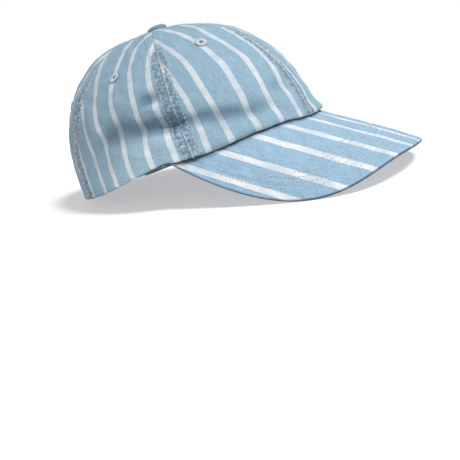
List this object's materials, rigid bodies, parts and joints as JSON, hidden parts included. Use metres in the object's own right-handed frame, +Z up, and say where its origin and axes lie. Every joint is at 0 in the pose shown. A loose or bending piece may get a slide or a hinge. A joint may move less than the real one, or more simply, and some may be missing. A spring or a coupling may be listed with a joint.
{
  "type": "peaked cap",
  "caption": "Soft cap with a rounded panelled crown, stitched eyelets, a covered top button, a stiff curved peak and an arch with a strap at the back.",
  "frame": {"origin": "on the floor under the middle of the cap's box, as it rests by itself on its back strap and the two sides of its peak", "axes": "+Z up, the peak points along -Y, the wearer's right is -X"},
  "size_m": [0.1808, 0.2712, 0.1246],
  "materials": {
    "striped_twill": "washed light blue cotton twill with white stripes",
    "peak_twill": "the same twill over a stiff board, stitched in rows",
    "button_twill": "plain blue twill over a button",
    "eyelet_thread": "pale embroidery thread"
  },
  "bodies": {
    "root": {"front_panel_right": "striped_twill", "front_panel_left": "striped_twill", "side_panel_right": "striped_twill", "side_panel_left": "striped_twill", "back_panel_right": "striped_twill", "back_panel_left": "striped_twill", "back_strap": "striped_twill", "peak": "peak_twill", "top_button": "button_twill", "eyelet_front_right": "eyelet_thread", "eyelet_front_left": "eyelet_thread", "eyelet_side_right": "eyelet_thread", "eyelet_side_left": "eyelet_thread", "eyelet_back_right": "eyelet_thread", "eyelet_back_left": "eyelet_thread"}
  },
  "joints": []
}
